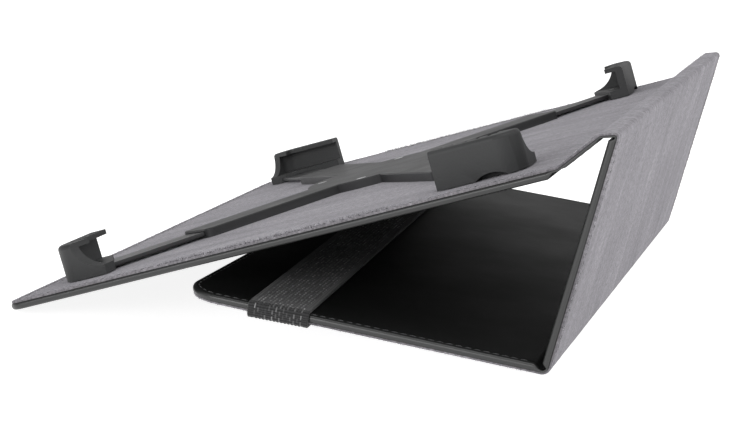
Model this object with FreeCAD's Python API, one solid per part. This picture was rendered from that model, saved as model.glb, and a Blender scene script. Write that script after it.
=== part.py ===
import FreeCAD, Part
import math
import os

# Folio case for a 10 inch tablet, standing in its landscape position. Millimetres, +Z up.
# Y runs along the fold lines. The origin is on the surface it stands on, below the box's middle.
# Four stiff panels are joined by folds: back (tablet panel), spine, support and cover. A narrow
# flexible web joins the spine to the support, so the case folds both ways there.
# All panels are drawn on one line, the middle of the crease web, with the lining on its +n side.

Vec = FreeCAD.Vector

# ---- driving dimensions -------------------------------------------------------------------
length = 262.0            # of every panel along the fold lines
skin = 0.7                # leather, and lining
board = 1.8               # stiffener of the wide panels
spine_board = 0.5
back_width = 201.8        # free edge to spine crease
spine_width = 17.1        # spine crease to the kink where the web starts
web_width = 5.7           # kink to top crease
support_width = 80.1      # top crease to bottom crease
cover_width = 126.4       # bottom crease to free edge
back_corner = 6.0         # radius of the back's free corners
cover_corner = 13.0
edge_inset = 0.8          # leather turned over the edge of a board
lining_inset = 0.4
crease_half = 2.0         # crease web, from its fold line to the panel's skins
board_setback = 2.4       # end of a board, from the end of its panel's skins
back_setback = 1.6        # skins of the back, from the crease
back_ramp = 0.8           # the leather closes over the end of the board
spine_ramp = 0.8
support_setback = 1.9     # skins of the support, from the top fold
support_ramp = 1.3
support_end_ramp = 0.7
cover_setback = 1.6
cover_ramp = 1.2

# pose of the stand, as directions from +X towards +Z
spine_dir = 42.1
web_dir = 8.0
support_dir = -103.0
cover_dir = 174.3

# ---- tablet holder ------------------------------------------------------------------------
bay_u = (15.2, 188.2)     # outside of the corner holders, from the back's free edge
bay_v = (14.0, 248.0)
base_thick = 0.8          # holder base plate, on the lining
base_corner = 3.0
channel_height = 1.8
roof_thick = 0.8
arm_thick = 1.5
arm_half = 7.0
arm_inner = 28.0          # ends of an arm, from the middle of the holder
arm_outer = 132.0
arm_gap = 0.15
arm_overhang = 3.0        # of an arm past its screw
housing_reach = 88.0
housing_half = 10.0
housing_radius = 30.0
chamber_radius = 21.0
post_radius = 5.0
screw_offset = 25.5
holder_height = 13.4
holder_foot = 0.3         # clear of the lining
ledge_top = 3.6           # the tablet lies on it
tablet_thick = 8.0
wall = 3.2
lip = 4.5                 # over the edge of the screen
long_leg = 30.0
short_leg = 19.0
holder_round = 8.0
holder_edge = 1.6         # softened outer top edge
pad_diagonal = [(-7.5, 19.0), (-27.0, 9.0), (-30.0, 7.7)]   # inner side of the ledge
sweep_radius = 10.0       # swept end of the short leg
sweep_start = 2.5
arch_radius = 10.0
arch_height = 1.8
arch_from_corner = 11.0
rib_count = 5             # finger grooves in the long leg's lip
rib_pitch = 4.0
rib_radius = 0.9
rib_lift = 0.45           # centre of a groove above the lip
rib_start = (10.0, 2.2)   # of the first groove, from the corner
rivet_circle = 11.5

# ---- elastic strap ------------------------------------------------------------------------
strap_width = 21.0
strap_thick = 1.2
strap_gap = 0.15
strap_end_gap = 0.95       # the skewed band clears the straight edge of the cover
strap_centre = 99.0       # from the bottom crease, at mid length
strap_skew = 3.5          # degrees
strap_tail = 14.0         # sewn to the lining side at each end

half_web = skin
leather_n = -(skin + board)          # outer face of a wide panel
lining_n = skin


# ---- the section's fold points ------------------------------------------------------------
def along(point, direction, distance):
    a = math.radians(direction)
    return (point[0] + distance * math.cos(a), point[1] + distance * math.sin(a))


bottom = (0.0, half_web)
top = along(bottom, support_dir, -support_width)
kink = along(top, web_dir, -web_width)
crease = along(kink, spine_dir, -spine_width)
# the back slopes down until its outer edge meets the surface
back_dir = math.degrees(math.asin(crease[1] / math.hypot(back_width, leather_n))
                        + math.atan2(leather_n, back_width))
free = along(crease, back_dir, -back_width)
middle_x = (free[0] + top[0] + half_web) / 2


def shifted(point):
    return (point[0] - middle_x, point[1])


bottom, top, kink, crease, free = [shifted(p) for p in (bottom, top, kink, crease, free)]
BACK = (free, back_dir)
SPINE = (crease, spine_dir)
WEB = (kink, web_dir)
SUPPORT = (top, support_dir)
COVER = (bottom, cover_dir)


# ---- helpers ------------------------------------------------------------------------------
def section_point(frame, u, n):
    (x, z), direction = frame
    a = math.radians(direction)
    return Vec(x + u * math.cos(a) - n * math.sin(a), -length / 2,
               z + u * math.sin(a) + n * math.cos(a))


def strip(points, inset=0.0):
    """A solid of one cross-section along the fold lines; points are (frame, u, n)."""
    ring = [section_point(*p) for p in points]
    face = Part.Face(Part.makePolygon(ring + ring[:1]))
    face.translate(Vec(0, inset, 0))
    return face.extrude(Vec(0, length - 2 * inset, 0))


def place(shape, frame):
    """From a panel's own u, v, n to the standing case; v starts at the near end."""
    (x, z), direction = frame
    turn = FreeCAD.Rotation(Vec(0, -1, 0), direction)
    shape = shape.copy()
    shape.Placement = FreeCAD.Placement(Vec(x, -length / 2, z), turn).multiply(shape.Placement)
    return shape


def plate(u0, u1, v0, v1, n0, n1, r_start=0.0, r_end=0.0):
    """A flat plate with rounded corners at its low and high u ends."""
    solid = Part.makeBox(u1 - u0, v1 - v0, n1 - n0, Vec(u0, v0, n0))
    for radius, u in ((r_start, u0), (r_end, u1)):
        if radius:
            upright = [e for e in solid.Edges
                       if abs(e.Length - (n1 - n0)) < 1e-6
                       and all(abs(p.Point.x - u) < 1e-6 for p in e.Vertexes)]
            solid = solid.makeFillet(radius, upright)
    return solid


def cylinder(radius, n0, n1, u, v):
    return Part.makeCylinder(radius, n1 - n0, Vec(u, v, n0))


def crease_strip(frame, u_fold, side):
    """The web at a fold: a round edge on the fold line, flat to the panel's skins."""
    flat = strip([(frame, u_fold, -half_web), (frame, u_fold + side * crease_half, -half_web),
                  (frame, u_fold + side * crease_half, half_web), (frame, u_fold, half_web)])
    centre = section_point(frame, u_fold, 0)
    rod = Part.makeCylinder(half_web, length, centre, Vec(0, 1, 0))
    return flat.fuse(rod).removeSplitter()


def panel(frame, u0, u1, profile, r_start, r_end):
    """Leather tray, board and lining of one wide panel; profile is the leather's section."""
    board_start = edge_inset if r_start else board_setback
    board_end = edge_inset if r_end else board_setback
    lining_start = lining_inset if r_start else 0
    lining_end = lining_inset if r_end else 0
    core = plate(u0 + board_start, u1 - board_end, edge_inset, length - edge_inset, -board, 0,
                 max(r_start - edge_inset, 0), max(r_end - edge_inset, 0))
    outline = plate(u0, u1, 0, length, leather_n - 1, lining_n + 1, r_start, r_end)
    core = place(core, frame)
    leather = strip([(frame, u, n) for u, n in profile]).common(place(outline, frame)).cut(core)
    lining = place(plate(u0 + lining_start, u1 - lining_end, lining_inset, length - lining_inset,
                         0, lining_n, max(r_start - lining_inset, 0), max(r_end - lining_inset, 0)),
                   frame)
    return leather, core, lining


parts = {}

# ---- back: free edge at u = 0, spine crease at u = back_width ------------------------------
back_end = back_width - back_setback
parts["back_leather"], parts["back_board"], parts["back_lining"] = panel(
    BACK, 0, back_end,
    [(0, 0), (0, leather_n), (back_end - back_ramp, leather_n), (back_end, -half_web), (back_end, 0)],
    back_corner, 0)

# ---- spine: stiff strip from its crease to the web ------------------------------------------
spine_start = crease_half
spine_end = spine_width - back_setback
board_from = spine_start + spine_ramp
board_to = spine_end - spine_ramp
spine_outer = -half_web - spine_board
parts["spine_leather"] = strip([
    (SPINE, spine_start, 0), (SPINE, spine_start, -half_web), (SPINE, board_from, spine_outer),
    (SPINE, board_to, spine_outer), (SPINE, spine_end, -half_web), (SPINE, spine_end, 0),
    (SPINE, board_to, -spine_board), (SPINE, board_from, -spine_board)])
parts["spine_board"] = strip([
    (SPINE, spine_start, 0), (SPINE, board_from, -spine_board),
    (SPINE, board_to, -spine_board), (SPINE, spine_end, 0)], edge_inset)
parts["spine_lining"] = strip([
    (SPINE, spine_start, 0), (SPINE, spine_end, 0), (SPINE, spine_end, lining_n),
    (SPINE, spine_start, lining_n)], lining_inset)
parts["spine_crease"] = crease_strip(SPINE, 0, 1)

# ---- web: both skins together, round about the fold line at each side -----------------------
web = crease_strip(WEB, 0, 1).fuse(crease_strip(WEB, web_width, -1))
web = web.fuse(strip([(WEB, 0, -half_web), (WEB, web_width, -half_web), (WEB, web_width, half_web),
                      (WEB, 0, half_web)]))
parts["top_web"] = web.removeSplitter()

# ---- support: top crease at u = 0, bottom crease at u = support_width -----------------------
support_end = support_width - crease_half
parts["support_leather"], parts["support_board"], parts["support_lining"] = panel(
    SUPPORT, support_setback, support_end,
    [(support_setback, 0), (support_setback, -half_web), (support_setback + support_ramp, leather_n),
     (support_end - support_end_ramp, leather_n), (support_end, -half_web), (support_end, 0)],
    0, 0)
parts["bottom_crease"] = crease_strip(SUPPORT, support_width, -1)

# ---- cover: bottom crease at u = 0, free edge at u = cover_width -----------------------------
parts["cover_leather"], parts["cover_board"], parts["cover_lining"] = panel(
    COVER, cover_setback, cover_width,
    [(cover_setback, 0), (cover_setback, -half_web), (cover_setback + cover_ramp, leather_n),
     (cover_width, leather_n), (cover_width, 0)],
    0, cover_corner)


# ---- elastic strap round the cover ----------------------------------------------------------
def strap_ring(grow, bend):
    """A block round the cover's section, grow outside the panel, with the strap's turned edges."""
    u0 = strap_centre - strap_width / 2
    low = leather_n - grow
    reach = strap_end_gap + grow - strap_gap
    ring = Part.makeBox(strap_width, length + 2 * reach, lining_n + grow - low, Vec(u0, -reach, low))
    turned = [e for e in ring.Edges if abs(e.Length - strap_width) < 1e-6]
    return ring.makeFillet(bend, turned)


def skewed(shape):
    shape = shape.copy()
    shape.rotate(Vec(strap_centre, length / 2, 0), Vec(0, 0, 1), -strap_skew)
    return shape


inner_bend = 0.7
strap = strap_ring(strap_gap + strap_thick, inner_bend + strap_thick).cut(strap_ring(strap_gap, inner_bend))
open_side = Part.makeBox(strap_width + 2, length - 2 * strap_tail, 5,
                         Vec(strap_centre - strap_width / 2 - 1, strap_tail, lining_n))
strap = skewed(strap.cut(open_side))
parts["elastic_strap"] = place(strap, COVER)

tack_inset = 2.5          # of a sewn bar, from the strap's sides
tack_from_end = 3.0
tack_spacing = 1.0        # each side of the middle of the pair
tack_width = 0.6
tack_height = 0.4
tack_low = lining_n + strap_gap + strap_thick
tacks = []
for v in (strap_tail - tack_from_end, length - strap_tail + tack_from_end):
    for row in (-tack_spacing, tack_spacing):
        corner = Vec(strap_centre - strap_width / 2 + tack_inset, v + row - tack_width / 2, tack_low)
        tack = Part.makeBox(strap_width - 2 * tack_inset, tack_width, tack_height, corner)
        tacks.append(place(skewed(tack), COVER))
parts["strap_tacks"] = Part.makeCompound(tacks)

# ---- tablet holder: u, v from its middle, w up from the lining ------------------------------
mid_u = sum(bay_u) / 2
mid_v = sum(bay_v) / 2
half_u = (bay_u[1] - bay_u[0]) / 2
half_v = (bay_v[1] - bay_v[0]) / 2
diagonal = math.degrees(math.atan2(half_v, half_u))
DIAGONALS = {"near_spine": -diagonal, "far_spine": diagonal,
             "far_edge": 180 - diagonal, "near_edge": 180 + diagonal}
QUARTERS = {"near_spine": 0, "far_spine": 90, "far_edge": 180, "near_edge": 270}
roof_low = base_thick + channel_height
roof_top = roof_low + roof_thick
arm_low = base_thick + arm_gap


def on_back(shape):
    shape = shape.copy()
    shape.translate(Vec(mid_u, mid_v, lining_n))
    return place(shape, BACK)


def diagonal_bar(angle, r0, r1, half, w0, w1, end_radius=0.0):
    bar = Part.makeBox(r1 - r0, 2 * half, w1 - w0, Vec(r0, -half, w0))
    if end_radius:
        ends = [e for e in bar.Edges if abs(e.Length - (w1 - w0)) < 1e-6
                and all(abs(p.Point.x - r1) < 1e-6 for p in e.Vertexes)]
        bar = bar.makeFillet(end_radius, ends)
    bar.rotate(Vec(0, 0, 0), Vec(0, 0, 1), angle)
    return bar


def star(radius, half, reach, w0, w1, end_radius=0.0):
    """A disc with four diagonal arms."""
    solid = cylinder(radius, w0, w1, 0, 0)
    for angle in DIAGONALS.values():
        solid = solid.fuse(diagonal_bar(angle, 0, reach, half, w0, w1, end_radius))
    return solid.removeSplitter()


screw_spots = [(screw_offset, 0), (0, screw_offset), (-screw_offset, 0), (0, -screw_offset)]
rivet_spots = [(rivet_circle, 0), (-rivet_circle, 0), (0, rivet_circle), (0, -rivet_circle)]

base = star(housing_radius, housing_half, housing_reach, 0, base_thick, base_corner)
base = base.fuse(cylinder(post_radius, base_thick, roof_low, 0, 0)).removeSplitter()
roof = star(housing_radius, housing_half, housing_reach, base_thick, roof_top, base_corner)
roof = roof.cut(star(chamber_radius, arm_half + arm_gap, housing_reach + 5, base_thick, roof_low))
rim = [e for e in roof.Edges if all(abs(p.Point.z - roof_top) < 1e-6 for p in e.Vertexes)]
roof = roof.makeFillet(0.5, rim)

screws = []
for u, v in screw_spots:
    shank = cylinder(0.9, 0.2, roof_top - 0.6, u, v)
    head = cylinder(1.9, roof_top - 0.6, roof_top, u, v)
    slot = Part.makeBox(3.0, 0.5, 0.3, Vec(u - 1.5, v - 0.25, roof_top - 0.3))
    screw = shank.fuse(head)
    roof = roof.cut(screw)
    base = base.cut(screw)
    screws.append(on_back(screw.cut(slot)))

rivets = []
back_lining = parts["back_lining"]
back_board = parts["back_board"]
for u, v in rivet_spots:
    rivet = cylinder(1.2, -lining_n - board, base_thick, u, v).fuse(cylinder(2.4, 0.4, base_thick, u, v))
    base = base.cut(rivet)
    rivet = on_back(rivet)
    back_lining = back_lining.cut(rivet)
    back_board = back_board.cut(rivet)
    rivets.append(rivet)
parts["back_lining"] = back_lining
parts["back_board"] = back_board
parts["holder_base"] = on_back(base)
parts["holder_cover"] = on_back(roof)
parts["holder_screws"] = Part.makeCompound(screws)
parts["holder_rivets"] = Part.makeCompound(rivets)


def return_spring(angle):
    """A small tension spring between the post and its arm."""
    wire_radius = 0.22
    coil_radius = 0.62
    turns_length = 9.0
    helix = Part.makeHelix(0.9, turns_length, coil_radius)
    start = Part.Wire(Part.makeCircle(wire_radius, Vec(coil_radius, 0, 0), Vec(0, 1, 0)))
    spring = Part.Wire(helix).makePipeShell([start], True, True)
    spring.rotate(Vec(0, 0, 0), Vec(0, 1, 0), 90)
    spring.translate(Vec(post_radius + 1.5, 0, base_thick + channel_height / 2))
    spring.rotate(Vec(0, 0, 0), Vec(0, 0, 1), angle)
    return on_back(spring)


def rounded_top(body):
    """Soften the outer top edges of a moulding."""
    edges = []
    for e in body.Edges:
        if not all(abs(p.Point.z - holder_height) < 1e-6 for p in e.Vertexes):
            continue
        mid = e.valueAt((e.FirstParameter + e.LastParameter) / 2)
        if abs(mid.z - holder_height) < 1e-6 and (mid.x > -holder_round and mid.y < holder_round
                                                 or abs(mid.x) < 1e-6 or abs(mid.y) < 1e-6):
            edges.append(e)
    return body.makeFillet(holder_edge, edges)


def corner_moulding():
    """Near spine corner, its outer corner at the origin: long leg along -u, short leg along +v."""
    outline = [(-long_leg, 0), (0, 0), (0, short_leg)] + pad_diagonal + [(-long_leg, 0)]
    pad = Part.Face(Part.makePolygon([Vec(x, y, holder_foot) for x, y in outline]))
    body = pad.extrude(Vec(0, 0, ledge_top - holder_foot))
    tall = holder_height - holder_foot
    for du, dv in ((long_leg, wall + lip), (wall + lip, short_leg)):
        body = body.fuse(Part.makeBox(du, dv, tall, Vec(-du, 0, holder_foot)))
    body = body.removeSplitter()
    outer = [e for e in body.Edges if abs(e.Length - tall) < 1e-6
             and all(math.hypot(p.Point.x, p.Point.y) < 1e-6 for p in e.Vertexes)]
    body = body.makeFillet(holder_round, outer)
    pocket = Part.makeBox(60, 60, tablet_thick, Vec(-60 - wall, wall, ledge_top))
    inner = [e for e in pocket.Edges if abs(e.Length - tablet_thick) < 1e-6
             and all(math.hypot(p.Point.x + wall, p.Point.y - wall) < 1e-6 for p in e.Vertexes)]
    pocket = pocket.makeFillet(holder_round - wall + 1, inner)
    body = body.cut(pocket)
    body = rounded_top(body)
    # the short leg's end sweeps back as it rises, more on its outer face than at the lip
    sweep = Part.makeCylinder(sweep_radius, 30, Vec(5, short_leg - sweep_start, holder_height + 0.2),
                              Vec(-1, 0.5, 0))
    body = body.cut(sweep)
    # arched relief at the foot of the long leg
    arch = Part.makeCylinder(arch_radius, wall + 2,
                             Vec(-arch_from_corner, -1, holder_foot + arch_height - arch_radius),
                             Vec(0, 1, 0))
    body = body.cut(arch)
    # shallow finger grooves across the long leg's lip
    for k in range(rib_count):
        groove = Part.makeCylinder(rib_radius, 20,
                                   Vec(-rib_start[0] - rib_pitch * k, rib_start[1], holder_height + rib_lift),
                                   Vec(0, 1, 0))
        body = body.cut(groove)
    return body


moulding = corner_moulding()
for name, angle in DIAGONALS.items():
    quarter = QUARTERS[name]
    holder = moulding.copy()
    holder.rotate(Vec(0, 0, 0), Vec(0, 0, 1), quarter)
    sign_u = 1 if "spine" in name else -1
    sign_v = -1 if "near" in name else 1
    holder.translate(Vec(sign_u * half_u, sign_v * half_v, 0))
    arm = diagonal_bar(angle, arm_inner, arm_outer, arm_half, arm_low, arm_low + arm_thick)
    joint_r = arm_outer - arm_overhang
    a = math.radians(angle)
    spot = (joint_r * math.cos(a), joint_r * math.sin(a))
    shank = cylinder(0.8, arm_low, ledge_top - 0.9, *spot)
    screw = shank.fuse(cylinder(1.6, ledge_top - 0.9, ledge_top - 0.1, *spot))
    recess = cylinder(1.6, ledge_top - 0.9, ledge_top, *spot)
    holder = holder.cut(arm).cut(recess).cut(screw)
    arm = arm.cut(screw)
    slot = Part.makeBox(2.4, 0.4, 0.3, Vec(spot[0] - 1.2, spot[1] - 0.2, ledge_top - 0.4))
    parts["corner_" + name] = on_back(holder)
    parts["arm_" + name] = on_back(arm)
    parts["corner_screw_" + name] = on_back(screw.cut(slot))
    parts["spring_" + name] = return_spring(angle)

os.makedirs("parts", exist_ok=True)
for name, shape in parts.items():
    shape.exportStep("parts/" + name + ".step")
    print(name, len(shape.Solids), shape.isValid(), round(shape.Volume, 1),
          [round(v, 2) for v in (shape.BoundBox.XMin, shape.BoundBox.XMax, shape.BoundBox.YMin,
                                 shape.BoundBox.YMax, shape.BoundBox.ZMin, shape.BoundBox.ZMax)])
for label, point in (("bottom", bottom), ("top", top), ("kink", kink), ("crease", crease), ("free", free)):
    print(label, [round(v, 3) for v in point])
print("back direction", round(back_dir, 3))
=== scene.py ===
import math
import random

import bmesh
import bpy
from mathutils import Matrix, Vector, noise


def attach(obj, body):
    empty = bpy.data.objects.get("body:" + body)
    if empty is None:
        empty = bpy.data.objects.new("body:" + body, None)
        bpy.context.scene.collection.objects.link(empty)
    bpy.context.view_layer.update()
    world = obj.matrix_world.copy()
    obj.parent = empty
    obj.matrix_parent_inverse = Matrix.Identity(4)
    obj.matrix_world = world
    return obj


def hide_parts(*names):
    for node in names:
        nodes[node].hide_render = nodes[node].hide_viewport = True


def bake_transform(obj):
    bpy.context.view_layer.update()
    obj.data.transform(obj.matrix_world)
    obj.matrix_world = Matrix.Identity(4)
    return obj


# Folio case for a 10 inch tablet, standing. The leather, lining, stitching and elastic strap are
# made here round the CAD's panels; the holder, boards, screws and springs are the CAD's own nodes.

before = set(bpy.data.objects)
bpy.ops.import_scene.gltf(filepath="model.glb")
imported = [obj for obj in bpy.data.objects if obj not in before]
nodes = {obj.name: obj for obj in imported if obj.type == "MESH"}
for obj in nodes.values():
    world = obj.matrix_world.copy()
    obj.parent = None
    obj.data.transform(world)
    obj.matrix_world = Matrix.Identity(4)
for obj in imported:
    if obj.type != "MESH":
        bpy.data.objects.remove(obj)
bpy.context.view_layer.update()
MM = 0.001
TINY = 1e-9

# ---- the case's section, in millimetres (the same line as the CAD) --------------------------
LENGTH = 262.0
SKIN = 0.7
OUTER = -2.5              # leather face of a wide panel, from the line of the folds
SPINE_OUTER = -1.2
FREE_BACK = (-105.187, 2.370)
CREASE = (86.155, 66.489)
KINK = (98.843, 77.954)
TOP = (104.487, 78.747)
BOTTOM = (86.469, 0.7)
BACK_DIR, SPINE_DIR, WEB_DIR, SUPPORT_DIR, COVER_DIR = 18.526, 42.1, 8.0, -103.0, -185.7
COVER_WIDTH = 126.4
BACK_CORNER = 6.0
COVER_CORNER = 13.0
BAND = 13.0               # strip along the edges that is modelled finely
BOARD_DEPTH = 1.8         # room for a wide panel's board, under the line
SPINE_BOARD_DEPTH = 0.5
GLUE = 0.02               # hair of room between leather and lining
BEND = {"crease": 2.0, "kink": 1.6, "top": 0.9, "bottom": 2.4}   # radius of the folded line


def heading(degrees):
    a = math.radians(degrees)
    return (math.cos(a), math.sin(a))


def moved(point, degrees, distance):
    c, s = heading(degrees)
    return (point[0] + c * distance, point[1] + s * distance)


FREE_COVER = moved(BOTTOM, COVER_DIR, COVER_WIDTH)


class Chain:
    """The line the panels are drawn on: straights joined by arcs, measured from the back's free edge."""

    def __init__(self):
        corners = [FREE_BACK, CREASE, KINK, TOP, BOTTOM, FREE_COVER]
        turns = [BACK_DIR, SPINE_DIR, WEB_DIR, SUPPORT_DIR, COVER_DIR]
        names = list(BEND)
        self.parts = []
        self.fold = {}
        s = 0.0
        point = corners[0]
        for i, direction in enumerate(turns):
            end = corners[i + 1]
            folded = i < len(names)
            if folded:
                turn = turns[i + 1] - direction
                tangent = BEND[names[i]] * math.tan(math.radians(abs(turn)) / 2)
                end = moved(end, direction, -tangent)
            run = math.hypot(end[0] - point[0], end[1] - point[1])
            self.parts.append((s, run, point, direction, 0.0))
            s += run
            if folded:
                arc = BEND[names[i]] * math.radians(abs(turn))
                self.parts.append((s, arc, end, direction, turn / arc))
                self.fold[names[i]] = s + arc / 2
                s += arc
                point = moved(corners[i + 1], turns[i + 1], tangent)
        self.length = s

    def at(self, s):
        """(x, z, direction in degrees) at a distance along the line."""
        for start, run, point, direction, rate in self.parts:
            if s <= start + run + TINY:
                break
        d = s - start
        if not rate:
            x, z = moved(point, direction, d)
            return x, z, direction
        a0 = math.radians(direction)
        a1 = math.radians(direction + rate * d)
        k = math.radians(rate)
        x = point[0] + (math.sin(a1) - math.sin(a0)) / k
        z = point[1] - (math.cos(a1) - math.cos(a0)) / k
        return x, z, direction + rate * d

    def world(self, s, y, n):
        """Metres, from the distance along the line, the place along the fold and the height off the line."""
        x, z, direction = self.at(s)
        c, d = heading(direction)
        return Vector(((x - n * d) * MM, y * MM, (z + n * c) * MM))


chain = Chain()
END = chain.length
HALF = LENGTH / 2

# where each board lies along the line: back, support and cover, then the spine's
CREASE_S, KINK_S, TOP_S, BOTTOM_S = chain.fold.values()
TURNED = 0.8              # leather turned over the free edge of a board
WIDE = [(TURNED, CREASE_S - 4.0), (TOP_S + 2.3, BOTTOM_S - 2.6), (BOTTOM_S + 4.8, END - TURNED)]
RAMPS = [(2.6, 2.8), (1.4, 1.7), (3.4, 2.6)]    # length over which the leather thins at each end
STIFF = (CREASE_S + 2.8, KINK_S - 2.4)
STIFF_RAMPS = (2.0, 1.8)
POCKET_SETBACK = 0.35     # of the room for a board, from the full thickness
POCKET_RAMP = 0.3
SPINE_POCKET_SETBACK = 0.3
BEYOND = 1e4              # a panel with a free edge is thick all the way past it


def smooth(t):
    t = min(max(t, 0.0), 1.0)
    return t * t * (3 - 2 * t)


def plateau(s, start, end, rise, fall):
    """1 between start and end, falling smoothly to 0 over rise and fall outside them."""
    return smooth((s - start + rise) / rise) * smooth((end + fall - s) / fall)


def outer_face(s):
    """Height of the leather's outer face along the line."""
    n = -SKIN
    for (start, end), ramps in zip(WIDE, RAMPS):
        lead = -BEYOND if start == TURNED else start
        tail = BEYOND if end == END - TURNED else end
        n += (OUTER + SKIN) * plateau(s, lead, tail, *ramps)
    return n + (SPINE_OUTER + SKIN) * plateau(s, *STIFF, *STIFF_RAMPS)


def inner_face(s):
    """Height of the leather's face against the boards and the lining."""
    n = -GLUE
    for start, end in WIDE:
        n -= BOARD_DEPTH * plateau(s, start + POCKET_SETBACK, end - POCKET_SETBACK, POCKET_RAMP, POCKET_RAMP)
    low, high = STIFF[0] + SPINE_POCKET_SETBACK, STIFF[1] - SPINE_POCKET_SETBACK
    return n - SPINE_BOARD_DEPTH * plateau(s, low, high, POCKET_RAMP, POCKET_RAMP)


def wander(a, b, scale, seed):
    """Smooth noise from -1 to 1 over the unfolded sheet."""
    return noise.noise(Vector((a / scale + seed * 7.31, b / scale - seed * 3.17, seed * 1.7)))


STITCH_DIP = 0.12         # the seam pulls into the leather, and into the lining
LINING_DIP = 0.22
LEATHER_SEAM = 2.1        # distance of the seam from the edge, on each face
LINING_SEAM = 3.2
EDGE_PAINT_AND_HIGHLIGHT = 1.0        # the leather's turned edge carries edge paint this far in; its lighter colour there is a painted highlight on the rounded band
PAINT_AND_HIGHLIGHT_FADE = 0.5
SEAM_FADE = 0.6           # the seam flattens over this change of thickness, where the leather thins
SEAM_START = 0.1
OUTER_ROUND = 0.5         # rounding of the turned edge, as parts of its thickness
INNER_ROUND = 0.34
LINING_ROUND = 0.32
LINING_STEP = 0.40        # the lining's cut edge, in from the leather's
LINING_TUCK = 0.02
SEAM_PULL = ((0.8, 0.12), (0.5, 0.45), (0.25, 0.85), (0.0, 1.0), (-0.25, 0.85), (-0.5, 0.45), (-0.7, 0.12))
LINING_PULL = ((-0.75, 0.05), (-0.45, 0.3), (-0.2, 0.75), (0.0, 1.0), (0.2, 0.75), (0.45, 0.3), (0.75, 0.05))


# ---- outlines across an edge: (distance in from the edge, height) ----------------------------
def edge_profile(s):
    """Over the leather's outer face, round its turned edge and back under the lining."""
    out = outer_face(s)
    low = inner_face(s)
    top = -GLUE
    seam = STITCH_DIP * smooth((-SKIN - SEAM_START - out) / SEAM_FADE)
    profile = [(e, out) for e in (BAND, 9.5, 7.0, 5.2, 3.9, 3.3)]
    profile += [(LEATHER_SEAM + offset, out + seam * dip) for offset, dip in SEAM_PULL]
    r = (top - out) * OUTER_ROUND
    for k in range(7):
        a = math.radians(90 * k / 6)
        profile.append((r - r * math.sin(a), out + r - r * math.cos(a)))
    side = out + r
    t = (top - out) * INNER_ROUND
    profile.append((0.0, (side + top - t) / 2))
    for k in range(4):
        a = math.radians(90 * k / 3)
        profile.append((t - t * math.cos(a), top - t + t * math.sin(a)))
    # the step down to the board
    profile += [(0.90, top), (0.92, low + (top - low) * 0.95), (0.94, low + (top - low) * 0.05)]
    profile += [(e, low) for e in (1.05, 3.0, 7.0, BAND)]
    return profile


def lining_profile(_):
    """Along the lining's hidden face, round its cut edge and over its nap: the same at every fold."""
    r = LINING_ROUND
    profile = [(e, 0.0) for e in (BAND, 7.0, 3.0, 1.2)]
    profile.append((LINING_STEP, LINING_TUCK))
    for k in range(5):
        a = math.radians(90 * k / 4)
        profile.append((LINING_STEP + r - r * math.cos(a), SKIN - r + r * math.sin(a)))
    profile += [(e, SKIN) for e in (0.95, 1.3, 1.7, 2.1)]
    profile += [(LINING_SEAM + offset, SKIN - LINING_DIP * dip) for offset, dip in LINING_PULL]
    profile += [(e, SKIN) for e in (4.5, 5.2, 6.2, 7.5, 9.5, BAND)]
    return profile


STEP = 4.4                # rows of a skin along the line, and the least between two of them
CLOSEST = 0.04
FINE_MARGIN = 0.5


def stations(start, end):
    """Distances along the line: even steps, closer where the section bends or ramps."""
    values = {round(start, 4), round(end, 4)}
    count = max(1, round((end - start) / STEP))
    for i in range(1, count):
        values.add(round(start + (end - start) * i / count, 4))
    for low, high, fine in FINE:
        if high <= start or low >= end:
            continue
        low, high = max(low, start), min(high, end)
        values = {v for v in values if not low < v < high}
        count = max(1, math.ceil((high - low) / fine))
        for i in range(count + 1):
            values.add(round(low + (high - low) * i / count, 4))
    ordered = sorted(values)
    kept = [ordered[0]]
    for v in ordered[1:]:
        if v - kept[-1] > CLOSEST:
            kept.append(v)
    kept[-1] = ordered[-1]
    return kept


FINE = [(WIDE[0][1] - FINE_MARGIN, STIFF[0] + FINE_MARGIN, 0.28),
        (STIFF[1] - FINE_MARGIN, WIDE[1][0] + FINE_MARGIN, 0.25),
        (WIDE[1][1] - FINE_MARGIN, WIDE[2][0] + FINE_MARGIN, 0.28)]
COLUMNS = 60
ACROSS = [-HALF + BAND + i * (LENGTH - 2 * BAND) / COLUMNS for i in range(1, COLUMNS)]


def new_object(name, vertices, faces, uvs, material):
    mesh = bpy.data.meshes.new(name)
    mesh.from_pydata([tuple(v) for v in vertices], [], faces)
    mesh.update()
    layer = mesh.uv_layers.new(name="sheet")
    for loop in mesh.loops:
        layer.data[loop.index].uv = uvs[loop.vertex_index]
    for polygon in mesh.polygons:
        polygon.use_smooth = True
    obj = bpy.data.objects.new(name, mesh)
    bpy.context.scene.collection.objects.link(obj)
    mesh.materials.append(material)
    return obj


EDGE_SHOWN = 0.9          # the hidden face starts this far in from the edge
CORNER_STEPS = 9
WELD = 3e-7               # metres
SLIVER = 1e-8
SHARP = math.radians(55)


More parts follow.
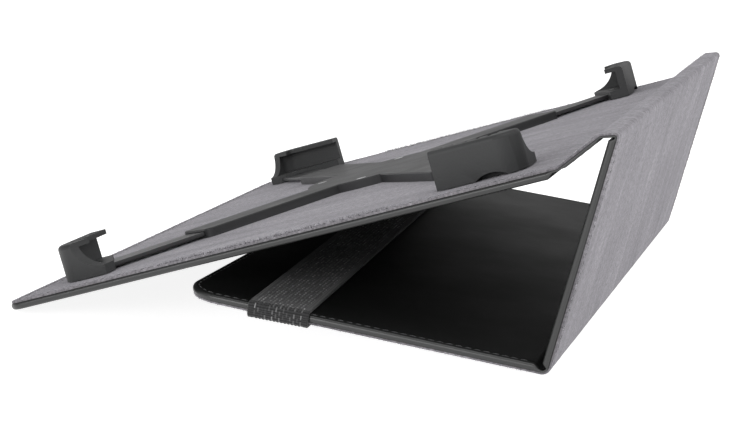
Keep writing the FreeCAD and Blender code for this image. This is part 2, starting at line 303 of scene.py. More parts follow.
class Sheet:
    """Collects one stretch of leather or lining: its closed skin, with the place on the sheet as UV."""

    def __init__(self, lining):
        self.lining = lining
        self.vertices, self.uvs, self.faces, self.edge_paint_and_highlight = [], [], [], []

    def add(self, s, y, n, hidden, e):
        if self.lining and not hidden:
            lift = 0.05 * wander(s, y, 3.1, 1) + 0.035 * wander(s, y, 1.1, 2) + 0.05 * wander(s, y, 26.0, 3)
            n += lift * smooth((n - 0.2) / 0.4)
        elif not hidden:
            n += 0.05 * wander(s, y, 34.0, 5) + 0.018 * wander(s, y, 6.0, 6)
        self.vertices.append(chain.world(min(max(s, 0.0), END), y, n))
        self.uvs.append((s * MM, y * MM))
        # mask of the turned edge: edge paint, with a painted highlight in its lighter colour
        self.edge_paint_and_highlight.append(1.0 - smooth((e - EDGE_PAINT_AND_HIGHLIGHT) / PAINT_AND_HIGHLIGHT_FADE))
        return len(self.vertices) - 1

    def ordered(self, s):
        """The outline from the hidden face to the shown one."""
        return lining_profile(s) if self.lining else edge_profile(s)[::-1]

    @staticmethod
    def hidden(e, n, face):
        """True on the face that the board, the leather or the lining covers."""
        return n == face and e > EDGE_SHOWN

    def row(self, s):
        """One closed ring across the case, from the hidden face round the near edge and back."""
        order = self.ordered(s)
        face, shown = order[0][1], order[-1][1]
        ring = []
        for e, n in order:
            ring.append((-HALF + e, n, self.hidden(e, n, face), e))
        for y in ACROSS:
            ring.append((y, shown, False, BAND))
        for e, n in order[::-1]:
            ring.append((HALF - e, n, self.hidden(e, n, face), e))
        for y in ACROSS[::-1]:
            ring.append((y, face, True, BAND))
        return [self.add(s, *place) for place in ring]

    def tube(self, values, close_start, close_end):
        rows = [self.row(s) for s in values]
        count = len(rows[0])
        for a, b in zip(rows, rows[1:]):
            for i in range(count):
                j = (i + 1) % count
                self.faces.append((a[i], b[i], b[j], a[j]))
        if close_start:
            self.faces.append(tuple(rows[0]))
        if close_end:
            self.faces.append(tuple(reversed(rows[-1])))

    def rounded_end(self, s_join, outward, radius):
        """The free edge with its rounded corners. outward is the way along the line."""
        order = self.ordered(s_join)
        face = order[0][1]
        reaches = [BAND + (radius - BAND) * k / 4 for k in range(5)]
        corner = [[(max(reach, e), e) for e, _ in order] for reach in reaches]
        for k in range(1, CORNER_STEPS + 1):
            a = math.radians(90 * k / CORNER_STEPS)
            column = []
            for e, _ in order:
                r = radius - e
                column.append((radius - r * math.sin(a), radius - r * math.cos(a)) if r > 0 else (e, e))
            corner.append(column)
        corner += [[(e, max(reach, e)) for e, _ in order] for reach in reaches[::-1]]
        near = [[(from_end, from_side - HALF) for from_end, from_side in column] for column in corner]
        far = [[(from_end, HALF - from_side) for from_end, from_side in column] for column in corner[::-1]]
        columns = near + [[(e, y) for e, _ in order] for y in ACROSS] + far
        edge = s_join + outward * BAND
        made = []
        for column in columns:
            made.append([self.add(edge - outward * from_end, y, n, self.hidden(e, n, face), e)
                         for (from_end, y), (e, n) in zip(column, order)])
        for a, b in zip(made, made[1:]):
            for i in range(len(order) - 1):
                self.faces.append((a[i], a[i + 1], b[i + 1], b[i]))


def case_piece(name, start, end, lining, free_start, free_end, material):
    """One stretch of the case's skin, closed at both ends."""
    sheet = Sheet(lining)
    low = start + (BAND if free_start else 0)
    high = end - (BAND if free_end else 0)
    sheet.tube(stations(low, high), not free_start, not free_end)
    if free_start:
        sheet.rounded_end(low, -1, BACK_CORNER)
    if free_end:
        sheet.rounded_end(high, 1, COVER_CORNER)
    obj = new_object(name, sheet.vertices, sheet.faces, sheet.uvs, material)
    mesh = obj.data
    edge_paint_and_highlight = mesh.attributes.new("edge_paint_and_highlight", "FLOAT", "POINT")
    edge_paint_and_highlight.data.foreach_set("value", sheet.edge_paint_and_highlight)
    work = bmesh.new()
    work.from_mesh(mesh)
    bmesh.ops.remove_doubles(work, verts=work.verts, dist=WELD)
    bmesh.ops.dissolve_degenerate(work, edges=work.edges, dist=SLIVER)
    bmesh.ops.recalc_face_normals(work, faces=work.faces)
    work.to_mesh(mesh)
    work.free()
    mesh.set_sharp_from_angle(angle=SHARP)
    return obj


# ---- materials ------------------------------------------------------------------------------
class Nodes:
    """A material being wired up."""

    def __init__(self, name):
        self.material = bpy.data.materials.new(name)
        self.material.use_nodes = True
        self.tree = self.material.node_tree
        self.shader = self.tree.nodes["Principled BSDF"]

    def node(self, kind, **settings):
        made = self.tree.nodes.new(kind)
        for key, value in settings.items():
            setattr(made, key, value)
        return made

    def link(self, source, target):
        self.tree.links.new(source, target)

    def coordinates(self, space, scale=(1, 1, 1), rotation=(0, 0, 0)):
        origin = self.node("ShaderNodeTexCoord")
        mapping = self.node("ShaderNodeMapping")
        mapping.inputs["Scale"].default_value = scale
        mapping.inputs["Rotation"].default_value = rotation
        self.link(origin.outputs[space], mapping.inputs["Vector"])
        return mapping.outputs["Vector"]

    def noise(self, vector, scale, detail=4.0, roughness=0.55, distortion=0.0):
        made = self.node("ShaderNodeTexNoise")
        made.inputs["Scale"].default_value = scale
        made.inputs["Detail"].default_value = detail
        made.inputs["Roughness"].default_value = roughness
        made.inputs["Distortion"].default_value = distortion
        self.link(vector, made.inputs["Vector"])
        return made.outputs["Fac"]

    def cells(self, vector, scale, feature="DISTANCE_TO_EDGE"):
        made = self.node("ShaderNodeTexVoronoi", feature=feature)
        made.inputs["Scale"].default_value = scale
        self.link(vector, made.inputs["Vector"])
        return made.outputs["Distance"]

    def wave(self, vector, scale, direction, distortion, detail):
        made = self.node("ShaderNodeTexWave", bands_direction=direction)
        made.inputs["Scale"].default_value = scale
        made.inputs["Distortion"].default_value = distortion
        made.inputs["Detail"].default_value = detail
        self.link(vector, made.inputs["Vector"])
        return made.outputs["Fac"]

    def ramp(self, value, stops):
        made = self.node("ShaderNodeValToRGB")
        ramp = made.color_ramp
        while len(ramp.elements) < len(stops):
            ramp.elements.new(0.5)
        for element, (position, colour) in zip(ramp.elements, stops):
            element.position = position
            if not isinstance(colour, (tuple, list)):
                colour = (colour, colour, colour)
            element.color = (*colour, 1.0)
        self.link(value, made.inputs["Fac"])
        return made.outputs["Color"]

    def math(self, operation, a, b=None):
        made = self.node("ShaderNodeMath", operation=operation)
        for socket, value in zip(made.inputs, (a, b)):
            if value is None:
                continue
            if isinstance(value, (int, float)):
                socket.default_value = value
            else:
                self.link(value, socket)
        return made.outputs[0]

    def mix(self, factor, a, b, blend_type="MIX"):
        made = self.node("ShaderNodeMix", data_type="RGBA", blend_type=blend_type)
        for socket, value in ((made.inputs[0], factor), (made.inputs[6], a), (made.inputs[7], b)):
            if isinstance(value, (int, float)):
                socket.default_value = value
            elif isinstance(value, tuple):
                socket.default_value = (*value, 1.0)
            else:
                self.link(value, socket)
        return made.outputs[2]

    def bump(self, height, strength, distance, before=None):
        made = self.node("ShaderNodeBump")
        made.inputs["Strength"].default_value = strength
        made.inputs["Distance"].default_value = distance
        self.link(height, made.inputs["Height"])
        if before is not None:
            self.link(before, made.inputs["Normal"])
        return made.outputs["Normal"]

    def set(self, **values):
        for key, value in values.items():
            socket = self.shader.inputs[key.replace("_", " ")]
            if isinstance(value, (int, float)):
                socket.default_value = value
            elif isinstance(value, tuple):
                socket.default_value = (*value, 1.0)
            else:
                self.link(value, socket)


def leather_material():
    m = Nodes("black_leather")
    sheet = m.coordinates("UV")
    grain = m.cells(sheet, 1500)
    grain_soft = m.ramp(grain, [(0.0, 0.0), (0.22, 0.75), (0.6, 1.0)])
    pores = m.noise(sheet, 3300, 3.0)
    broad = m.noise(sheet, 26, 3.0)
    rough = m.ramp(broad, [(0.3, 0.47), (0.7, 0.56)])
    tone = m.ramp(broad, [(0.3, (0.0060, 0.0063, 0.0062)), (0.7, (0.0095, 0.0099, 0.0097))])
    edge_paint_and_highlight = m.node("ShaderNodeAttribute", attribute_name="edge_paint_and_highlight").outputs["Fac"]
    # the turned edge: gloss and roughness are the edge paint's own, the lighter colour is a painted highlight
    # on the rounded band
    colour = m.mix(edge_paint_and_highlight, tone, (0.013, 0.0135, 0.0135))
    gloss = m.math("ADD", m.math("MULTIPLY", edge_paint_and_highlight, 0.46), 0.14)
    rough = m.math("SUBTRACT", rough, m.math("MULTIPLY", edge_paint_and_highlight, 0.22))
    height = m.math("ADD", m.math("MULTIPLY", grain_soft, 0.7), m.math("MULTIPLY", pores, 0.5))
    fine = m.bump(height, 0.30, 0.00006)
    wavy = m.bump(m.noise(sheet, 90, 4.0), 0.12, 0.0006, fine)
    m.set(Base_Color=colour, Roughness=rough, Specular_IOR_Level=gloss, Normal=wavy)
    return m.material


def lining_material():
    m = Nodes("grey_suede_lining")
    sheet = m.coordinates("UV")
    brushed = m.coordinates("UV", scale=(0.22, 1.0, 1.0), rotation=(0, 0, 0.22))
    streak = m.noise(brushed, 95, 5.0, 0.62, 0.6)
    patch = m.noise(sheet, 22, 4.0, 0.6)
    fibre = m.noise(sheet, 2600, 3.0, 0.7)
    speck = m.noise(sheet, 620, 5.0, 0.75)
    brushing = m.math("ADD", m.math("MULTIPLY", streak, 0.62), m.math("MULTIPLY", patch, 0.38))
    tone = m.ramp(brushing,
                  [(0.28, (0.070, 0.066, 0.073)), (0.45, (0.132, 0.126, 0.136)),
                   (0.58, (0.182, 0.174, 0.187)), (0.72, (0.27, 0.260, 0.276))])
    flecks = m.ramp(speck, [(0.36, 0.45), (0.50, 0.95), (0.66, 1.48)])
    colour = m.mix(1.0, tone, flecks, "MULTIPLY")
    height = m.math("ADD", m.math("MULTIPLY", fibre, 0.6), m.math("MULTIPLY", speck, 0.8))
    fine = m.bump(height, 0.55, 0.00025)
    soft = m.bump(streak, 0.25, 0.0008, fine)
    m.set(Base_Color=colour, Roughness=0.93, Specular_IOR_Level=0.12, Sheen_Weight=0.3, Sheen_Roughness=0.55,
          Sheen_Tint=(0.86, 0.84, 0.90), Normal=soft)
    return m.material


def fibre_material():
    m = Nodes("lining_nap")
    place = m.coordinates("Object")
    tone = m.ramp(m.noise(place, 700, 2.0), [(0.38, (0.075, 0.070, 0.078)), (0.62, (0.50, 0.485, 0.52))])
    m.set(Base_Color=tone, Roughness=0.9, Specular_IOR_Level=0.15)
    return m.material


def thread_material(name, dark, light):
    m = Nodes(name)
    place = m.coordinates("Object")
    twist = m.wave(place, 900, "DIAGONAL", 2.0, 2.0)
    tone = m.mix(twist, dark, light)
    m.set(Base_Color=tone, Roughness=0.62, Specular_IOR_Level=0.35, Sheen_Weight=0.3,
          Normal=m.bump(twist, 0.5, 0.0001))
    return m.material


STRAP_MIDDLE = 0.1504      # distance along the band of the cover's middle, in metres
STRAP_PAINTED_LIGHT = 0.1300   # painted light: the flat run, in shade under the back panel, is coloured lighter this far each way
STRAP_PLAIN = 0.0082       # no light threads beyond this, at the selvedges
THREAD_PITCH = 0.0007


def elastic_material():
    """U runs across the band and V along it, in metres."""
    m = Nodes("woven_elastic")
    sheet = m.coordinates("UV")
    split = m.node("ShaderNodeSeparateXYZ")
    m.link(sheet, split.inputs[0])
    swapped = m.node("ShaderNodeCombineXYZ")
    m.link(split.outputs[1], swapped.inputs[0])
    m.link(split.outputs[0], swapped.inputs[1])
    picks = m.node("ShaderNodeTexBrick")
    m.link(swapped.outputs[0], picks.inputs["Vector"])
    for name, value in (("Scale", 1000.0), ("Brick Width", 2.1), ("Row Height", 1.24), ("Mortar Size", 0.42),
                        ("Mortar Smooth", 0.25), ("Bias", -0.25)):
        picks.inputs[name].default_value = value
    picks.inputs["Color1"].default_value = (0.0, 0.0, 0.0, 1)
    picks.inputs["Color2"].default_value = (1.0, 1.0, 1.0, 1)
    picks.inputs["Mortar"].default_value = (0.0, 0.0, 0.0, 1)
    inside = m.math("LESS_THAN", m.math("ABSOLUTE", split.outputs[0]), STRAP_PLAIN)
    worn = m.ramp(m.noise(sheet, 170, 3.0), [(0.35, 0.25), (0.65, 1.0)])
    fleck = m.math("MULTIPLY", m.math("MULTIPLY", picks.outputs["Color"], inside), worn)
    from_middle = m.math("ABSOLUTE", m.math("SUBTRACT", split.outputs[1], STRAP_MIDDLE))
    # painted light: base and flecks are lighter over the flat run, which lies in shade under the back panel
    painted_light_run = m.math("LESS_THAN", from_middle, STRAP_PAINTED_LIGHT)
    fleck = m.math("MULTIPLY", fleck, m.math("ADD", m.math("MULTIPLY", painted_light_run, 0.55), 0.40))
    turns = m.math("MULTIPLY", split.outputs[1], 2 * math.pi / THREAD_PITCH)
    threads = m.math("ADD", m.math("MULTIPLY", m.math("SINE", turns), 0.5), 0.5)
    # the cords' lines along the band are the weave's own; the lift over the flat run is painted light
    cords_and_painted_light = m.math("ADD", m.math("MULTIPLY", threads, 0.45), m.math("MULTIPLY", painted_light_run, 0.55))
    base = m.mix(cords_and_painted_light, (0.012, 0.012, 0.0125), (0.060, 0.060, 0.0615))
    colour = m.mix(m.math("MULTIPLY", fleck, 0.9), base, (0.75, 0.75, 0.755))
    height = m.math("ADD", m.math("MULTIPLY", m.math("SUBTRACT", 1.0, picks.outputs["Fac"]), inside),
                    m.math("MULTIPLY", threads, 0.35))
    m.set(Base_Color=colour, Roughness=0.8, Specular_IOR_Level=0.2, Sheen_Weight=0.15,
          Normal=m.bump(height, 0.7, 0.0003))
    return m.material


def plastic_material(name, tone, roughness, scale, strength, level=0.4):
    m = Nodes(name)
    place = m.coordinates("Object")
    texture = m.noise(place, scale, 4.0, 0.6)
    pits = m.cells(place, scale * 0.8, "F1")
    broad = m.noise(place, 55, 3.0)
    geometry = m.node("ShaderNodeNewGeometry")
    edge = m.ramp(geometry.outputs["Pointiness"], [(0.51, 0.0), (0.58, 1.0)])
    dark = tuple(c * 0.86 for c in tone)
    light = tuple(c * 1.16 for c in tone)
    base = m.mix(m.ramp(broad, [(0.35, 0.0), (0.65, 1.0)]), dark, light)
    colour = m.mix(m.math("MULTIPLY", edge, 0.4), base, tuple(min(1.0, c * 2.6) for c in tone))
    rough = m.ramp(broad, [(0.3, roughness - 0.04), (0.7, roughness + 0.05)])
    height = m.math("ADD", texture, m.math("MULTIPLY", pits, 0.6))
    m.set(Base_Color=colour, Roughness=rough, Specular_IOR_Level=level,
          Normal=m.bump(height, strength, 0.00012))
    return m.material


def steel_material():
    m = Nodes("bright_steel")
    place = m.coordinates("Object", scale=(1.0, 6.0, 1.0))
    lines = m.noise(place, 900, 3.0)
    rough = m.ramp(lines, [(0.3, 0.24), (0.7, 0.38)])
    tone = m.ramp(lines, [(0.3, (0.50, 0.50, 0.51)), (0.7, (0.62, 0.62, 0.63))])
    m.set(Base_Color=tone, Metallic=1.0, Roughness=rough, Normal=m.bump(lines, 0.15, 0.00005))
    return m.material


def board_material():
    m = Nodes("grey_board")
    place = m.coordinates("Object")
    fibres = m.noise(m.coordinates("Object", scale=(1, 5, 1)), 260, 4.0)
    specks = m.noise(place, 1200, 3.0)
    tone = m.ramp(fibres, [(0.3, (0.20, 0.175, 0.145)), (0.7, (0.34, 0.305, 0.26))])
    m.set(Base_Color=tone, Roughness=0.95, Normal=m.bump(m.math("ADD", fibres, specks), 0.4, 0.0002))
    return m.material


LEATHER = leather_material()
LINING = lining_material()
NAP = fibre_material()
THREAD = thread_material("leather_thread", (0.022, 0.022, 0.0235), (0.080, 0.080, 0.083))
# the lining's thread is darker than the leather's: partly its own dark thread, partly painted shade of the
# stitch holes sunk in the nap
LINING_THREAD_AND_SHADE = thread_material("lining_thread_and_hole_shade", (0.006, 0.006, 0.0065), (0.022, 0.021, 0.023))
ELASTIC = elastic_material()
RUBBER = plastic_material("black_rubber", (0.016, 0.0164, 0.0168), 0.55, 1300, 0.45, 0.42)
HOUSING = plastic_material("black_plastic", (0.014, 0.014, 0.015), 0.46, 1700, 0.28)
ARM = plastic_material("arm_plastic", (0.018, 0.018, 0.019), 0.40, 1500, 0.2)
STEEL = steel_material()
BOARD = board_material()


# ---- the skins ------------------------------------------------------------------------------
WEB_MID = (KINK_S + TOP_S) / 2
SPINE_MID = (STIFF[0] + STIFF[1]) / 2
BOTTOM_CUT = BOTTOM_S - 8.0
BACK_CUT = CREASE_S - 8.0
STRETCHES = {
    "back": (0.0, BACK_CUT, True, False),
    "crease": (BACK_CUT, SPINE_MID, False, False),
    "web": (SPINE_MID, WEB_MID, False, False),
    "support": (WEB_MID, BOTTOM_CUT, False, False),
    "cover": (BOTTOM_CUT, END, False, True),
}
# the CAD's skins that each stretch stands for, and its folded strips, which are leather
PANEL_OF = {"back": "back", "crease": "spine", "support": "support", "cover": "cover"}
FOLD_OF = {"crease": "spine_crease", "web": "top_web", "cover": "bottom_crease"}
# bodies on each side of a stretch's fold, where it is, and how far the bend reaches before and after
BENT = {
    "crease": ("back", "spine", CREASE_S, 1.6, 1.6),
    "web": ("spine", "web", KINK_S, 1.1, 1.1),
    "support": ("web", "support", TOP_S, 1.4, 2.2),
    "cover": ("support", "cover", BOTTOM_S, 2.6, 2.6),
}

for stretch, (start, end, free_start, free_end) in STRETCHES.items():
    for skin, lining, material in (("leather", False, LEATHER), ("lining", True, LINING)):
        piece = case_piece(f"{stretch}_{skin}_skin", start, end, lining, free_start, free_end, material)
        if stretch in BENT:
            before, after, fold, reach, reach_after = BENT[stretch]
            chain.world(fold - reach, 0, 0)
            chain.world(fold + reach_after, 0, 0)
            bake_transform(piece)
        else:
            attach(piece, stretch)
        replaced = []
        if stretch in PANEL_OF:
            replaced.append(f"{PANEL_OF[stretch]}_{skin}")
        if skin == "leather" and stretch in FOLD_OF:
            replaced.append(FOLD_OF[stretch])
        if replaced:
            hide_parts(*replaced)


# ---- stitching, nap and strap -----------------------------------------------------------------
LEG_POINTS = 60
TURN_POINTS = 12
PITCH = 3.1               # of the stitches
THREAD_SIDES = 6
THREAD_SHAPE = ((-1.0, 0.0), (-0.86, 0.62), (-0.5, 0.95), (0.0, 1.0), (0.5, 0.95), (0.86, 0.62), (1.0, 0.0))
THREAD_SINK = 0.55        # a stitch dives at its ends by this part of its height


def seam_path(start, end, inset, free_start, free_end):
    """Points (distance along the line, y) of the seam round a panel, open at its folds."""
    near, far = -HALF + inset, HALF - inset
    if not (free_start or free_end):
        return [[(start, near), (end, near)], [(start, far), (end, far)]]
    edge, outward, radius, fold = (0.0, -1, BACK_CORNER, end) if free_start else (END, 1, COVER_CORNER, start)

    def leg(s0, s1, y0, y1):
        return [(s0 + (s1 - s0) * i / LEG_POINTS, y0 + (y1 - y0) * i / LEG_POINTS) for i in range(LEG_POINTS)]

    def corner(side, inbound):
        r = radius - inset
        points = []
        for k in range(TURN_POINTS):
            a = math.radians(90 * (k if inbound else TURN_POINTS - k) / TURN_POINTS)
            points.append((edge - outward * (radius - r * math.sin(a)),
                           side * (HALF - radius + r * math.cos(a))))
        return points

    straight = edge - outward * radius
    across = edge - outward * inset
    path = leg(fold, straight, near, near) + corner(-1, True)
    path += leg(across, across, -HALF + radius, HALF - radius) + corner(1, False)
    path += leg(straight, fold, far, far) + [(fold, far)]
    return [path]


def facing_inward(paths, free_start, free_end):
    """Turns each path so that the panel lies on its left."""
    if free_start:
        return [path[::-1] for path in paths]
    if free_end:
        return paths
    return [path if path[0][1] < 0 else path[::-1] for path in paths]


def walk(path, pitch):
    """(point, unit direction) at even steps along a path of (s, y) points."""
    lengths = [0.0]
    for a, b in zip(path, path[1:]):
        lengths.append(lengths[-1] + math.hypot(b[0] - a[0], b[1] - a[1]))
    count = int(lengths[-1] / pitch)
    offset = (lengths[-1] - count * pitch) / 2 + pitch / 2
    i = 0
    for k in range(count):
        d = offset + k * pitch
        while i < len(lengths) - 2 and lengths[i + 1] < d:
            i += 1
        a, b = path[i], path[i + 1]
        span = lengths[i + 1] - lengths[i]
        t = (d - lengths[i]) / span
        ds, dy = b[0] - a[0], b[1] - a[1]
        yield (a[0] + ds * t, a[1] + dy * t), (ds / span, dy / span)


def stitches(name, paths, height, out, long, wide, tall, material, rng):
    """A row of short sewn threads, each a small closed spindle sunk into its face."""
    vertices, faces, uvs = [], [], []
    for path in paths:
        for (s, y), (ds, dy) in walk(path, PITCH):
            slant = rng.uniform(-0.10, 0.10)
            ds, dy = ds - dy * slant, dy + ds * slant
            grow = rng.uniform(0.9, 1.06)
            rings = []
            for t, w in THREAD_SHAPE:
                count = 1 if w == 0.0 else THREAD_SIDES
                rings.append((len(vertices), count))
                sink = THREAD_SINK * tall * (t * t)
                for k in range(count):
                    a = 2 * math.pi * k / THREAD_SIDES
                    side = w * wide / 2 * math.cos(a)
                    up = w * tall * math.sin(a) - sink
                    along = t * long / 2 * grow
                    place = (s + ds * along - dy * side, y + dy * along + ds * side, height + out * up)
                    vertices.append(chain.world(*place))
                    uvs.append((along * MM, side * MM))
            for (a, na), (b, nb) in zip(rings, rings[1:]):
                for k in range(THREAD_SIDES):
                    k2 = (k + 1) % THREAD_SIDES
                    quad = [a + (k if na > 1 else 0), b + (k if nb > 1 else 0), b + (k2 if nb > 1 else 0),
                            a + (k2 if na > 1 else 0)]
                    quad = [v for i, v in enumerate(quad) if v not in quad[:i]]
                    faces.append(tuple(quad if out > 0 else quad[::-1]))
    return new_object(name, vertices, faces, uvs, material)


def nap(name, paths, density, depth, tallest, rng, clear):
    """Loose fibres near the lining's edge, each a thin closed spike. clear is where they may stand tall."""
    vertices, faces, uvs = [], [], []
    for path in paths:
        for (s, y), (ds, dy) in walk(path, 1.0 / density):
            inward = rng.uniform(0.0, 1.0) ** 1.4 * depth
            jitter = rng.uniform(-0.4, 0.4) / density
            ps, py = s + ds * jitter - dy * inward, y + dy * jitter + ds * inward
            tall = tallest * rng.uniform(0.35, 1.0) * (1.0 - 0.45 * inward / depth)
            if clear:
                open_here = smooth((ps - clear[0]) / NAP_FADE) * smooth((clear[1] - ps) / NAP_FADE)
                tall = min(tall, NAP_UNDER + (tallest - NAP_UNDER) * open_here)
            lean_s, lean_y = rng.gauss(0, 0.3), rng.gauss(0, 0.3)
            thick = rng.uniform(0.055, 0.09)
            first = len(vertices)
            for bend, width, height in ((0.0, 1.0, -NAP_ROOT), (0.3 * tall, 0.8, 0.5 * tall)):
                for k in range(3):
                    a = 2 * math.pi * k / 3 + lean_s
                    vertices.append(chain.world(ps + bend * lean_s + thick * width * math.cos(a),
                                                py + bend * lean_y + thick * width * math.sin(a),
                                                SKIN + height))
            vertices.append(chain.world(ps + lean_s * tall, py + lean_y * tall, SKIN + tall))
            uvs += [(ps * MM, py * MM)] * 7
            faces.append((first + 2, first + 1, first))
            for k in range(3):
                k2 = (k + 1) % 3
                faces.append((first + k, first + k2, first + 3 + k2, first + 3 + k))
                faces.append((first + 3 + k, first + 3 + k2, first + 6))
    return new_object(name, vertices, faces, uvs, NAP)


PANELS = {
    "back": (0.0, CREASE_S - 6.5, True, False),
    "spine": (CREASE_S + 3.6, KINK_S - 3.2, False, False),
    "support": (TOP_S + 5.5, BOTTOM_S - 6.0, False, False),
    "cover": (BOTTOM_S + 6.0, END, False, True),
}
NAP_ROOT = 0.16           # of a fibre, below the lining's face
NAP_INSET = 0.5
NAP_FADE = 8.0            # the tall fibres shorten over this length
NAP_UNDER = 0.2           # tallest under the holder's sliding corners
NAP_CLEAR = {"back": (58.0, 146.0)}
NAP_HEIGHT = {"back": 1.3, "spine": 0.6, "support": 0.45, "cover": 0.4}
NAP_DEPTH = {"back": 7.0, "spine": 3.0, "support": 3.0, "cover": 1.5}
NAP_DENSITY = {"back": 12.0, "spine": 9.0, "support": 9.0, "cover": 5.5}
NAP_PAST_SEAM = {"spine": (2.0, 1.5)}    # the nap runs on past the ends of the stitching
LEATHER_THREAD = (2.5, 0.5, 0.2)         # length, width and height of a stitch
# the lining's stitches are wider than their thread: the dark strip includes painted shade of the holes
LINING_THREAD = (2.2, 0.85, 0.24)
LINING_THREAD_SINK = 0.10

for panel, (start, end, free_start, free_end) in PANELS.items():
    rng = random.Random(len(panel) * 17 + 3)
    outer = SPINE_OUTER if panel == "spine" else OUTER
    rows = (
        ("leather", LEATHER_SEAM, outer + STITCH_DIP - 0.02, -1, LEATHER_THREAD, THREAD),
        ("lining", LINING_SEAM, SKIN - LINING_THREAD_SINK, 1, LINING_THREAD, LINING_THREAD_AND_SHADE),
    )
    for skin, inset, height, out, thread, material in rows:
        row = stitches(f"{panel}_{skin}_stitching", seam_path(start, end, inset, free_start, free_end),
                       height, out, *thread, material, rng)
        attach(row, panel)
    before, after = NAP_PAST_SEAM.get(panel, (0.0, 0.0))
    paths = seam_path(start - before, end + after, NAP_INSET, free_start, free_end)
    fibres = nap(f"{panel}_nap", facing_inward(paths, free_start, free_end), NAP_DENSITY[panel],
                 NAP_DEPTH[panel], NAP_HEIGHT[panel], rng, NAP_CLEAR.get(panel))
    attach(fibres, panel)


STRAP_CENTRE = 99.0
STRAP_HALF = 10.5
STRAP_SKEW = math.radians(3.5)
STRAP_LOW = -3.25         # middle of the band over the leather, and over the lining
STRAP_HIGH = 1.45
STRAP_EDGE = 1.55         # middle of the band outside the cover's edge
STRAP_BEND = 1.3
STRAP_TAIL = 14.0
STRAP_COLUMNS = 126
STRAP_SHARP = math.radians(60)
STRAP_SWAY = 0.12
HALF_THICK = 0.60
SELVEDGE = 2.1            # plain strip at each side, with two welts
CORD = 1.24               # pitch of the cords along the band
WELTS = ((1.95, 0.13, 0.22), (1.0, 0.06, 0.2))    # distance in, depth, width


def strap_line():
    """(v, n, outward v, outward n) down the middle of the band, from one sewn end to the other."""
    points = []

    def run(v0, n0, v1, n1, out, step):
        length = math.hypot(v1 - v0, n1 - n0)
        count = max(1, round(length / step))
        for i in range(count):
            points.append((v0 + (v1 - v0) * i / count, n0 + (n1 - n0) * i / count, *out))

    def bend(cv, cn, a0, a1):
        for i in range(8):
            a = math.radians(a0 + (a1 - a0) * i / 8)
            c, d = math.cos(a), math.sin(a)
            points.append((cv + STRAP_BEND * c, cn + STRAP_BEND * d, c, d))

    r = STRAP_BEND
    low, high, near, far = STRAP_LOW, STRAP_HIGH, -STRAP_EDGE, LENGTH + STRAP_EDGE
    run(STRAP_TAIL, high, near + r, high, (0, 1), 1.0)
    bend(near + r, high - r, 90, 180)
    run(near, high - r, near, low + r, (-1, 0), 0.4)
    bend(near + r, low + r, 180, 270)
    run(near + r, low, far - r, low, (0, -1), 2.0)
    bend(far - r, low + r, -90, 0)
    run(far, low + r, far, high - r, (1, 0), 0.4)
    bend(far - r, high - r, 0, 90)
    run(far - r, high, LENGTH - STRAP_TAIL, high, (0, 1), 1.0)
    points.append((LENGTH - STRAP_TAIL, high, 0, 1))
    return points


def cover_point(u, v, n):
    """Metres, from a place on the cover, turned by the strap's skew."""
    du, dv = u - STRAP_CENTRE, v - HALF
    c, d = math.cos(STRAP_SKEW), math.sin(STRAP_SKEW)
    u, v = STRAP_CENTRE + du * c + dv * d, HALF - du * d + dv * c
    x, z = moved(BOTTOM, COVER_DIR, u)
    hc, hs = heading(COVER_DIR)
    return Vector(((x - n * hs) * MM, (v - HALF) * MM, (z + n * hc) * MM))


def half_thickness(w):
    """Of the band, across its width."""
    edge = STRAP_HALF - abs(w)
    half = HALF_THICK - 0.16 * (1 - smooth(edge / 0.5))
    half -= 0.30 * (1 - math.sqrt(1 - (1 - min(edge / 0.3, 1.0)) ** 2))
    if edge > SELVEDGE:
        return half + 0.10 * math.cos(2 * math.pi * w / CORD) - 0.05
    for place, depth, width in WELTS:
        half -= depth * math.exp(-((edge - place) / width) ** 2)
    return half


def strap():
    """The woven band: plain selvedges with welts inside, and fine cords along it."""
    places = [-STRAP_HALF + 2 * STRAP_HALF * i / STRAP_COLUMNS for i in range(STRAP_COLUMNS + 1)]
    ring = [(w, half_thickness(w)) for w in places]
    ring += [(w, -h) for w, h in reversed(ring)]
    vertices, uvs, faces = [], [], []
    distance = 0.0
    last = None
    rows = []
    for v, n, ov, on in strap_line():
        if last:
            distance += math.hypot(v - last[0], n - last[1])
        last = (v, n)
        sway = STRAP_SWAY * wander(distance, 0, 18.0, 9)
        row = []
        for w, h in ring:
            row.append(len(vertices))
            vertices.append(cover_point(STRAP_CENTRE + w + sway, v + ov * h, n + on * h))
            uvs.append((w * MM, distance * MM))
        rows.append(row)
    size = len(ring)
    for a, b in zip(rows, rows[1:]):
        for i in range(size):
            j = (i + 1) % size
            faces.append((a[i], a[j], b[j], b[i]))
    faces.append(tuple(rows[0]))
    faces.append(tuple(reversed(rows[-1])))
    obj = new_object("elastic_band", vertices, faces, uvs, ELASTIC)
    work = bmesh.new()
    work.from_mesh(obj.data)
    bmesh.ops.recalc_face_normals(work, faces=work.faces)
    work.to_mesh(obj.data)
    work.free()
    obj.data.set_sharp_from_angle(angle=STRAP_SHARP)
    return obj


band = strap()
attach(band, "cover")
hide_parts("elastic_strap")

# ---- CAD nodes that are shown ----------------------------------------------------------------
# first match on the start of the node's name
FINISHES = (
    ("holder_base", HOUSING), ("holder_cover", HOUSING), ("holder_screws", STEEL), ("holder_rivets", STEEL),
    ("back_board", BOARD), ("spine_board", BOARD), ("support_board", BOARD), ("cover_board", BOARD),
    ("corner_screw", STEEL), ("spring_", STEEL), ("corner_", RUBBER), ("arm_", ARM), ("strap_tacks", THREAD),
)
MOULDED = (RUBBER, ARM, HOUSING)          # their corners are softened
NOT_SOFTENED = "holder_base"
SOFT_EDGE = 0.00022
SOFT_ANGLE = math.radians(38)
NODE_WELD = 2e-6

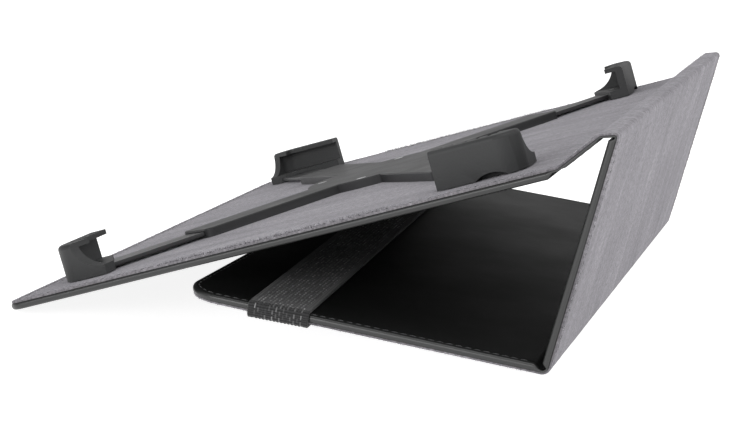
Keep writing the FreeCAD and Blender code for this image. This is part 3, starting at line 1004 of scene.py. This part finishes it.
for name, obj in nodes.items():
    material = next((finish for start, finish in FINISHES if name.startswith(start)), None)
    if material:
        obj.data.materials.clear()
        obj.data.materials.append(material)
    if material in MOULDED and name != NOT_SOFTENED:
        weld = obj.modifiers.new("weld", "WELD")
        weld.merge_threshold = NODE_WELD
        soften = obj.modifiers.new("soften", "BEVEL")
        soften.limit_method = "ANGLE"
        soften.angle_limit = SOFT_ANGLE
        soften.width = SOFT_EDGE
        soften.segments = 2
        obj.modifiers.new("shading", "WEIGHTED_NORMAL")

# ---- floor, light and camera, in metres --------------------------------------------------------
FLOOR = 40.0
FLOOR_Z = -0.0005
FLOOR_TONE = 0.5
FLOOR_GLOW = 0.88         # keeps the shadows pale
WORLD = 0.58
SOFTBOXES = (
    # name, place, aimed at, size, power
    ("key", (0.25, -0.25, 1.1), (0, 0, 0.03), (1.0, 0.8), 5.0),
    ("back_light", (0.5, 1.3, 0.45), (0.03, 0, 0.02), (1.4, 0.35), 1.0),
    ("front_light", (0.0, -1.5, 0.75), (0, 0, 0.03), (1.4, 0.35), 4.0),
    ("right_light", (1.2, -0.2, 0.5), (0.09, 0, 0.04), (0.6, 0.6), 3.0),
    ("fill", (-0.45, -1.2, 0.3), (0, 0, 0.02), (0.9, 0.4), 4.0),
)
SENSOR = 36.0
LENS = 89.57
CAMERA_PLACE = (0.1932, -0.6784, 0.1619)
CAMERA_YAW, CAMERA_DOWN, CAMERA_ROLL = -17.13, 11.31, 1.9

corners = [(x * FLOOR, y * FLOOR, FLOOR_Z) for x, y in ((-1, -1), (1, -1), (1, 1), (-1, 1))]
floor_mesh = bpy.data.meshes.new("floor")
floor_mesh.from_pydata(corners, [], [(0, 1, 2, 3)])
floor = bpy.data.objects.new("floor", floor_mesh)
bpy.context.scene.collection.objects.link(floor)
pale = Nodes("pale_floor")
pale.set(Base_Color=(FLOOR_TONE, FLOOR_TONE, FLOOR_TONE), Roughness=0.8, Emission_Color=(1.0, 1.0, 1.0),
         Emission_Strength=FLOOR_GLOW)
floor_mesh.materials.append(pale.material)

world = bpy.data.worlds.new("studio")
bpy.context.scene.world = world
world.use_nodes = True
world.node_tree.nodes["Background"].inputs["Color"].default_value = (1, 1, 1, 1)
world.node_tree.nodes["Background"].inputs["Strength"].default_value = WORLD
bpy.context.scene.view_settings.view_transform = "Standard"

for name, place, target, size, power in SOFTBOXES:
    light = bpy.data.lights.new(name, "AREA")
    light.shape = "RECTANGLE"
    light.size, light.size_y = size
    light.energy = power
    lamp = bpy.data.objects.new(name, light)
    lamp.location = place
    lamp.rotation_euler = (Vector(target) - Vector(place)).to_track_quat("-Z", "Y").to_euler()
    bpy.context.scene.collection.objects.link(lamp)

camera_data = bpy.data.cameras.new("camera")
camera_data.sensor_width = SENSOR
camera_data.lens = LENS
camera_data.clip_start = 0.01
camera_data.clip_end = 50
camera = bpy.data.objects.new("camera", camera_data)
bpy.context.scene.collection.objects.link(camera)
yaw, down, roll = (math.radians(a) for a in (CAMERA_YAW, CAMERA_DOWN, CAMERA_ROLL))
forward = Vector((math.sin(yaw) * math.cos(down), math.cos(yaw) * math.cos(down), -math.sin(down)))
level = Vector((math.cos(yaw), -math.sin(yaw), 0))
upright = level.cross(forward)
right = level * math.cos(roll) + upright * math.sin(roll)
up = upright * math.cos(roll) - level * math.sin(roll)
axes = Matrix((right, up, -forward)).transposed()
camera.matrix_world = Matrix.Translation(CAMERA_PLACE) @ axes.to_4x4()
bpy.context.scene.camera = camera
